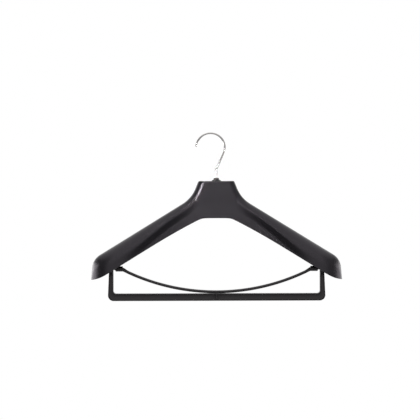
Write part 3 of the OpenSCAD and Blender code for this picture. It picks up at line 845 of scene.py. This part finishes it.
def bar_path():
    """Rings of the bar along its U, as (outer point, inner point, share of the recess's depth)."""
    leg_steps, corner_steps, run_steps = 5, 14, 12
    recess_top = pivot_z - lug_d / 2 - rim_w
    corner_z = bar_bottom + bar_r
    inner_z = bar_top + bar_inner_r
    walls = [(0.0, 0.0), (0.12, 0.1), (0.3, 0.9), (0.55, 1.0)]
    plain = 4
    leg = [(leg_z, 0), (leg_z - 1, 0), (pivot_z + plain, 0), (pivot_z - plain, 0)]
    leg += [(recess_top - d, share) for d, share in walls]
    leg += [(z, 1) for z in even_steps(recess_top, corner_z, leg_steps)[1:-1]]
    half = []
    for z, share in leg:
        spread_out = leg_taper * min(1, max(0, (recess_top - z) / (recess_top - corner_z)))
        half.append(((leg_out + spread_out, z), (leg_in, max(z, inner_z)), share))
    for a in even_steps(0, math.pi / 2, corner_steps):
        outer = (foot_out - bar_r + bar_r * cos(a), corner_z - bar_r * sin(a))
        inner = (leg_in - bar_inner_r + bar_inner_r * cos(a), inner_z - bar_inner_r * sin(a))
        half.append((outer, inner, 1))
    mark = mark_w / 2
    for x in even_steps(foot_out - bar_r, mark + 1, run_steps)[1:-1]:
        half.append(((x, bar_bottom), (min(x, leg_in - bar_inner_r), bar_top), 1))
    for d, share in reversed(walls):
        half.append(((mark + d, bar_bottom), (mark + d, bar_top), share))
    mirrored = [((-o[0], o[1]), (-i[0], i[1]), share) for o, i, share in half]
    return mirrored + half[::-1]


def bar_section(width, share):
    """Half of the bar's section, from the outer edge to the inner one, as (distance in, depth from the face).

    The outer rim slopes away a little towards the bar's edge.
    """
    turns = even_steps(0, math.pi / 2, 4)
    outer = [(edge_r * (1 - cos(a)), edge_r * (1 - sin(a))) for a in turns]
    drop = [(rim_w - foot_r * (1 - sin(a)), foot_r * (1 - cos(a)) * share) for a in turns]
    floor_in = rim_w + wall_lean
    floor = [(floor_in + foot_r * (1 - cos(a)), share * (rim_d - foot_r * (1 - sin(a)))) for a in turns]
    left = outer + drop + floor
    right = [(width - t, d) for t, d in reversed(left)]
    sloped = [(t, d + rim_slope * max(0, 1 - t / rim_w)) for t, d in left]
    return sloped + right


def moulded_bar():
    rings = bar_path()
    points = []
    for outer, inner, share in rings:
        o = Vector(outer)
        i = Vector(inner)
        width = (i - o).length
        inward = (i - o) / width
        half = bar_section(width, share)
        front = [(o + inward * t, -bar_depth / 2 + d) for t, d in half]
        rear = [(o + inward * t, bar_depth / 2 - d) for t, d in reversed(half)]
        points += [to_frame(p.x, bar_y + y, p.y) for p, y in front + rear]
    size = len(points) // len(rings)
    faces = end_faces(len(points), size) + tube_faces(len(rings), size)
    return mesh_piece("trouser_bar_moulding", points, faces)


trouser_bar = moulded_bar()
for side in (-1, 1):
    hole = [(pin_d / 2 + turn_fit, -leg_w), (pin_d / 2 + turn_fit, leg_w)]
    middle = (axis_x + side * (leg_in + leg_out) / 2, bar_y, pivot_z)
    carve(trouser_bar, turned("pin_hole", hole, middle, axis="X", sides=48), "DIFFERENCE")
    root = leg_out - 1
    foot = barb_z - barb_h / 2
    tooth = [(root, foot), (leg_out + barb, foot), (root, barb_z + barb_h / 2 + barb_lead)]
    plate = prism("barb", tooth, barb_w, lambda u, v, t: to_frame(side * u, bar_y + t, v))
    carve(trouser_bar, plate, "UNION")
bar_plastic = moulded_plastic(
    "bar_plastic",
    colour=(0.0095, 0.0092, 0.0098),
    flow_colour=(0.0125, 0.0120, 0.0128),
    gloss_tint=(0.99, 0.92, 0.95),
    roughness=0.33,
    spread=0.10,
    grain_size=1100.0,
    flow_size=26.0,
)
coat(trouser_bar, bar_plastic)
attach(trouser_bar, "hanger")
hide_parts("trouser_bar")

# Clamp bow: a springy strip of the same black plastic, moulded in a bow. It ends in round barrels whose pins
# turn in the bar's legs, so that it swings up to take the trousers and presses them onto the bar.
bow_t = 5
bow_depth = 9
bow_r = 371
play = 0.3
lug_l = 13.2
lug_gap = 3.6
lug_edge = 1.2
bow_edge = 0.46 * bow_t
root_t = 6.6
root_depth = 6.3
root_in = 2.5
root_lean = 0.45
root_pull = 0.45
root_rise = 0.35
strip_gap = 0.75 * lug_l
pin_inset = 1.5
lug_out = leg_in - lug_gap
lug_in = lug_out - lug_l
bow_cz = bar_top + play + bow_r
bow_mid_r = bow_r - bow_t / 2
strip_end = math.asin((lug_in - strip_gap) / bow_mid_r)


def rounded_box(w, h, r, steps=5):
    """Points round a rectangle with rounded corners, from its middle."""
    points = []
    for cx, cy, first in ((1, 1, 0), (-1, 1, 90), (-1, -1, 180), (1, -1, 270)):
        for i in range(steps + 1):
            a = math.radians(first + 90 * i / steps)
            points.append((cx * (w / 2 - r) + r * cos(a), cy * (h / 2 - r) + r * sin(a)))
    return points


def bow_strip():
    """The bow's strip, which thickens and narrows where it runs into the barrels."""
    strip_steps, root_steps = 64, 12
    path = []
    for i in range(strip_steps + 1):
        a = strip_end * i / strip_steps
        path.append((bow_mid_r * sin(a), bow_cz - bow_mid_r * cos(a), a, bow_t, bow_depth))
    x0, z0, a0 = path[-1][:3]
    x1, z1 = lug_in + root_in, pivot_z
    reach = (x1 - x0) * root_pull
    for i in range(1, root_steps + 1):
        t = i / root_steps
        b = ((1 - t) ** 3, 3 * t * (1 - t) ** 2, 3 * t * t * (1 - t), t**3)
        xs = (x0, x0 + reach * cos(a0), x1 - reach, x1)
        zs = (z0, z0 + reach * sin(a0), z1 - reach * root_rise, z1)
        x = sum(k * v for k, v in zip(b, xs))
        z = sum(k * v for k, v in zip(b, zs))
        grow = smooth_step(0, 1, t)
        t_here = bow_t + (root_t - bow_t) * grow
        depth_here = bow_depth + (root_depth - bow_depth) * grow
        path.append((x, z, a0 * (1 - root_lean * t), t_here, depth_here))
    path = [(-x, z, -a, t, d) for x, z, a, t, d in path[:0:-1]] + path
    points = []
    for x, z, a, t, d in path:
        for u, v in rounded_box(t, d, bow_edge):
            points.append(to_frame(x - u * sin(a), bar_y + v, z + u * cos(a)))
    size = len(points) // len(path)
    faces = end_faces(len(points), size) + tube_faces(len(path), size)
    return mesh_piece("clamp_bow_strip", points, faces)


bow = bow_strip()
inner_edge = 0.8
lug_r = lug_d / 2
barrel = []
for a in even_steps(0, math.pi / 2, 5):
    barrel.append((lug_r - inner_edge * (1 - sin(a)), inner_edge * (1 - cos(a))))
for a in even_steps(0, math.pi / 2, 6):
    barrel.append((lug_r - lug_edge * (1 - cos(a)), lug_l - lug_edge * (1 - sin(a))))
pin_end = leg_out - pin_inset - lug_in
pin_r = pin_d / 2
pin_edge = 0.4
pin_root = 0.3
barrel += [(pin_r + pin_root, lug_l), (pin_r, lug_l + pin_root)]
barrel += [(pin_r, pin_end - pin_edge), (pin_r - pin_edge, pin_end)]
for side in (-1, 1):
    outline = [(r, side * h) for r, h in barrel]
    middle = (axis_x + side * lug_in, bar_y, pivot_z)
    carve(bow, turned("barrel", outline, middle, axis="X"), "UNION")
coat(bow, bar_plastic)
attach(bow, "bow")
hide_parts("clamp_bow")

# Hook: 3.2 mm steel wire, bent and bright chromed. A bend that sits on the rail, a kink above the stem,
# and an M3 thread rolled on its lower end, inside the neck.
wire_d = 3.2
hook_r = 23.6
hook_drop = 62.6
stem_x = axis_x
kink_r = 3
tip_angle = math.radians(15)
tip_l = 5.6
thread_d = 3
thread_pitch = 0.5
thread_depth = 0.3
thread_out = 2
nose_share = 0.8
least_ring = 0.02
runout_l = 0.6
runout_least = 0.55
nut_h = 2.4
washer_t = 1
wire_r = wire_d / 2
bend_r = hook_r + wire_r
kink_dz = hook_drop - hook_r
lean = math.asin(bend_r / math.hypot(stem_x, kink_dz)) - math.atan(stem_x / kink_dz)
run_l = math.sqrt(stem_x**2 + kink_dz**2 - bend_r**2)
kink_bend = kink_r + wire_r
kink_back = kink_bend * tan(lean / 2)
sleeve_top = -hook_drop - kink_back
wire_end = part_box("hook_wire")[0].z / MM
nut_top = wire_end + thread_out + nut_h


def hook_rings():
    """Rings of the wire as (centre, direction across, radius), from the rounded tip down to the nut."""
    nose_steps, bend_steps, straight_steps, kink_steps = 8, 96, 8, 10
    tip_at = math.pi - tip_angle
    start = Vector((bend_r * cos(tip_at), -hook_r + bend_r * sin(tip_at)))
    away = Vector((-sin(tip_angle), -cos(tip_angle)))
    across = Vector((-cos(tip_angle), sin(tip_angle)))
    nose = wire_r * nose_share
    rings = []
    for a in even_steps(0, math.pi / 2, nose_steps):
        along = tip_l - nose + nose * cos(a)
        rings.append((start + away * along, across, max(wire_r * sin(a), least_ring)))
    rings.append((start + away * (tip_l - nose) * 0.5, across, wire_r))
    for a in even_steps(tip_at, -lean, bend_steps):
        out = Vector((cos(a), sin(a)))
        rings.append((Vector((0, -hook_r)) + out * bend_r, out, wire_r))
    run_start = rings[-1][0]
    down = Vector((-sin(lean), -cos(lean)))
    side = Vector((cos(lean), -sin(lean)))
    for i in range(1, straight_steps):
        rings.append((run_start + down * (run_l - kink_back) * i / straight_steps, side, wire_r))
    centre = Vector((stem_x + kink_bend, sleeve_top))
    for a in even_steps(math.pi - lean, math.pi, kink_steps):
        out = Vector((cos(a), sin(a)))
        rings.append((centre + out * kink_bend, -out, wire_r))
    for z in even_steps(sleeve_top, nut_top, straight_steps)[1:]:
        rings.append((Vector((stem_x, z)), Vector((1, 0)), wire_r))
    return rings


def chromed_hook():
    sides = 40
    points = []
    rings = hook_rings()
    for centre, out, r in rings:
        for across, deep in circle(sides):
            spot = centre + out * r * across
            points.append((spot.x * MM, r * deep * MM, spot.y * MM))
    thread_steps = 8
    turns = (nut_top - wire_end) / thread_pitch
    count = int(turns * thread_steps)
    for i in range(count + 1):
        z = nut_top - (nut_top - wire_end) * i / count
        runout = min(1, (z - wire_end) / runout_l + runout_least)
        for k, (across, deep) in enumerate(circle(sides)):
            phase = (z / thread_pitch + k / sides) % 1
            r = (thread_d / 2 - thread_depth * abs(2 * phase - 1)) * runout
            points.append(((stem_x + r * across) * MM, r * deep * MM, z * MM))
    faces = end_faces(len(points), sides) + tube_faces(len(points) // sides, sides)
    return mesh_piece("hook_wire_bent", points, faces, crease=50)


hook = chromed_hook()


def metal(name, colour, roughness, spread, scratch_scale, stretch_by):
    """A plated metal with fine marks in its sheen, which can be drawn out along an axis."""
    made = bpy.data.materials.new(name)
    made.use_nodes = True
    sheet = made.node_tree
    shader = sheet.nodes["Principled BSDF"]
    shader.inputs["Metallic"].default_value = 1.0
    shader.inputs["Base Color"].default_value = (*colour, 1)
    place = node(sheet, "ShaderNodeTexCoord", (-900, 0))
    stretch = node(sheet, "ShaderNodeMapping", (-700, 0), Scale=stretch_by)
    marks = node(sheet, "ShaderNodeTexNoise", (-500, 0), Scale=scratch_scale, Detail=5.0, Roughness=0.65)
    level = node(sheet, "ShaderNodeMapRange", (-260, 0))
    noise_low, noise_high = 0.35, 0.75
    level.inputs["From Min"].default_value = noise_low
    level.inputs["From Max"].default_value = noise_high
    level.inputs["To Min"].default_value = roughness
    level.inputs["To Max"].default_value = roughness + spread
    relief = node(sheet, "ShaderNodeBump", (-240, -240), Strength=0.25, Distance=0.00001)
    connect(
        sheet,
        (place, "Object", stretch, "Vector"),
        (stretch, 0, marks, "Vector"),
        (marks, "Fac", level, "Value"),
        (marks, "Fac", relief, "Height"),
        (level, "Result", shader, "Roughness"),
        (relief, "Normal", shader, "Normal"),
    )
    return made


chrome = metal(
    "chrome_wire", (0.55, 0.53, 0.52), roughness=0.12, spread=0.08, scratch_scale=900.0, stretch_by=(1, 1, 1)
)
coat(hook, chrome)
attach(hook, "hook")
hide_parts("hook_wire")

# Sleeve: a short milky tube of soft clear vinyl, pushed over the stem down into the collar's socket.
sleeve_low, sleeve_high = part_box("stem_sleeve")
sleeve_d = 4.9
sleeve_r = sleeve_d / 2
sleeve_bore = wire_r + 0.05
sleeve_foot = sleeve_low.z / MM
sleeve_head = sleeve_high.z / MM
taper = 0.5
foot_edge = 0.2
head_draw = 0.15
tube = [(sleeve_bore, sleeve_foot + foot_edge), (sleeve_bore + foot_edge, sleeve_foot)]
tube += [(sleeve_r - foot_edge, sleeve_foot), (sleeve_r, sleeve_foot + foot_edge)]
tube += [(sleeve_r, sleeve_head - 5), (sleeve_r - 0.12, sleeve_head - 2)]
for a in even_steps(0, math.pi / 2, 5):
    tube.append((sleeve_r - taper * (1 - cos(a)) - head_draw, sleeve_head - taper * (1 - sin(a))))
tube += [(sleeve_bore, sleeve_head - head_draw)]
sleeve = turned("stem_sleeve_tube", tube, (stem_x, 0, 0), ring=True)
milky = bpy.data.materials.new("clear_plastic")
milky.use_nodes = True
sheet = milky.node_tree
shader = sheet.nodes["Principled BSDF"]
shader.inputs["Transmission Weight"].default_value = 0.12
shader.inputs["IOR"].default_value = 1.49
shader.inputs["Subsurface Weight"].default_value = 0.7
shader.inputs["Subsurface Scale"].default_value = 1.0
shader.inputs["Subsurface Radius"].default_value = (0.0015, 0.0013, 0.0013)
place = node(sheet, "ShaderNodeTexCoord", (-900, 0))
cloud = node(sheet, "ShaderNodeTexNoise", (-700, 0), Scale=320.0, Detail=3.0)
tint = node(sheet, "ShaderNodeMix", (-420, 120), data_type="RGBA")
tint.inputs["A"].default_value = (0.99, 0.93, 0.95, 1)
tint.inputs["B"].default_value = (0.95, 0.89, 0.91, 1)
matt_level = node(sheet, "ShaderNodeMapRange", (-420, -160))
matt_level.inputs["To Min"].default_value = 0.18
matt_level.inputs["To Max"].default_value = 0.38
connect(
    sheet,
    (place, "Object", cloud, "Vector"),
    (cloud, "Fac", tint, "Factor"),
    (cloud, "Fac", matt_level, "Value"),
    (tint, "Result", shader, "Base Color"),
    (matt_level, "Result", shader, "Roughness"),
)
coat(sleeve, milky)
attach(sleeve, "hook")
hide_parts("stem_sleeve")

# Swivel collar: a black nylon bush. Its twelve-sided flange rests on the neck, a round step above it holds
# the sleeve's end, and its slotted spigot snaps through the boss inside the neck.
flange_d = 15.6
flange_h = 2.7
step_d = 9.6
step_h = 2.7
sleeve_socket = 1
bead = 0.5
slot_w = 1.2
slot_share = 0.6
spigot_l = 18
flange_sides = 12
collar_top = neck_top + flange_h + step_h
flange_bevel = 0.45 * flange_h
small_edge = 0.25
step_edge = 0.4
corner_r = flange_d / 2 / cos(math.pi / flange_sides)


def flange_prism():
    """The twelve-sided flange: a short upright wall under a chamfer that runs in to the step."""
    flange_top = neck_top + flange_h
    levels = [(corner_r - small_edge, neck_top), (corner_r, neck_top + small_edge)]
    levels += [(corner_r, flange_top - flange_bevel - 0.1), (corner_r - 0.15, flange_top - flange_bevel)]
    levels += [(step_d / 2 + 0.8, flange_top - 0.1), (step_d / 2 + 0.5, flange_top)]
    points = []
    for r, z in levels:
        for across, deep in circle(flange_sides):
            points.append(to_frame(r * across, r * deep, z))
    faces = end_faces(len(points), flange_sides) + tube_faces(len(levels), flange_sides)
    return mesh_piece("swivel_collar_bush", points, faces, crease=12)


collar = flange_prism()
step_r = step_d / 2
spigot_r = spigot_d / 2
post = [(spigot_r - 0.6, spigot_end), (spigot_r, spigot_end + 0.5), (spigot_r + bead, spigot_end + bead_h)]
post += [(spigot_r, spigot_end + bead_h + 0.02), (spigot_r, neck_top + 0.3), (step_r, neck_top + 0.31)]
post += [(step_r, collar_top - step_edge)]
for a in even_steps(0, math.pi / 2, 4)[1:]:
    post.append((step_r - step_edge * (1 - cos(a)), collar_top - step_edge * (1 - sin(a))))
carve(collar, turned("post", post, (axis_x, 0, 0)), "UNION", crease=20)
socket_r = sleeve_r + play
bore_r = wire_r + turn_fit
socket_floor = collar_top - sleeve_socket
well_mouth = socket_r + small_edge
well = [(bore_r, spigot_end - overcut), (bore_r, socket_floor), (socket_r, socket_floor + 0.01)]
well += [(socket_r, collar_top - 0.2), (well_mouth, collar_top + 0.05), (well_mouth, collar_top + overcut)]
carve(collar, turned("well", well, (axis_x, 0, 0)), "DIFFERENCE", crease=20)
slot_low = spigot_end - 2
slot_top = spigot_end + spigot_l * slot_share
slot = [(-spigot_d, slot_low), (spigot_d, slot_low), (spigot_d, slot_top), (-spigot_d, slot_top)]
carve(collar, prism("slot", slot, slot_w, lambda u, v, t: to_frame(t, u, v)), "DIFFERENCE", crease=20)
coat(collar, bar_plastic)
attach(collar, "hanger")
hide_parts("swivel_collar")

# Thrust washer and nut: zinc-plated steel, inside the neck. The nut on the wire's thread carries the hanger
# through the washer, which the collar's spigot turns on.
washer_d = 11
washer_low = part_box("thrust_washer")[0].z / MM
washer_r = washer_d / 2
washer_edge = 0.2
washer_high = washer_low + washer_t
section = [(bore_r, washer_low + washer_edge), (bore_r + washer_edge, washer_low)]
section += [(washer_r - washer_edge, washer_low), (washer_r, washer_low + washer_edge)]
section += [(washer_r, washer_high - washer_edge), (washer_r - washer_edge, washer_high)]
section += [(bore_r + washer_edge, washer_high), (bore_r, washer_high - washer_edge)]
washer = turned("thrust_washer_plated", section, (stem_x, 0, 0), ring=True)
zinc = metal(
    "plated_steel", (0.60, 0.60, 0.61), roughness=0.24, spread=0.16, scratch_scale=500.0, stretch_by=(1, 1, 3)
)
coat(washer, zinc)
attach(washer, "hook")
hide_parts("thrust_washer")

nut_w = 5.5
nut_low = nut_top - nut_h
nut_corner = nut_w / 2 / cos(math.pi / 6)
nut_face = nut_w / 2 - 0.1
nut_bevel = (nut_corner - nut_face) * 0.6
blank_r = nut_corner + 0.05
blank = [(nut_face, nut_low), (blank_r, nut_low + nut_bevel)]
blank += [(blank_r, nut_top - nut_bevel), (nut_face, nut_top)]
nut = turned("hook_nut_hexagon", blank, (stem_x, 0, 0), sides=72)
flats = [(nut_corner * cos(a), nut_corner * sin(a)) for a in [math.radians(60 * k) for k in range(6)]]
hexagon = prism("flats", flats, nut_h + 2, lambda u, v, t: to_frame(u, v, nut_low + nut_h / 2 + t))
carve(nut, hexagon, "INTERSECT", crease=20)
thread_fit = 0.05
thread_r = thread_d / 2 + thread_fit
thread_hole = [(thread_r, nut_low - overcut), (thread_r, nut_top + overcut)]
carve(nut, turned("thread_hole", thread_hole, (stem_x, 0, 0), sides=48), "DIFFERENCE", crease=20)
coat(nut, zinc)
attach(nut, "hook")
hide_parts("hook_nut")
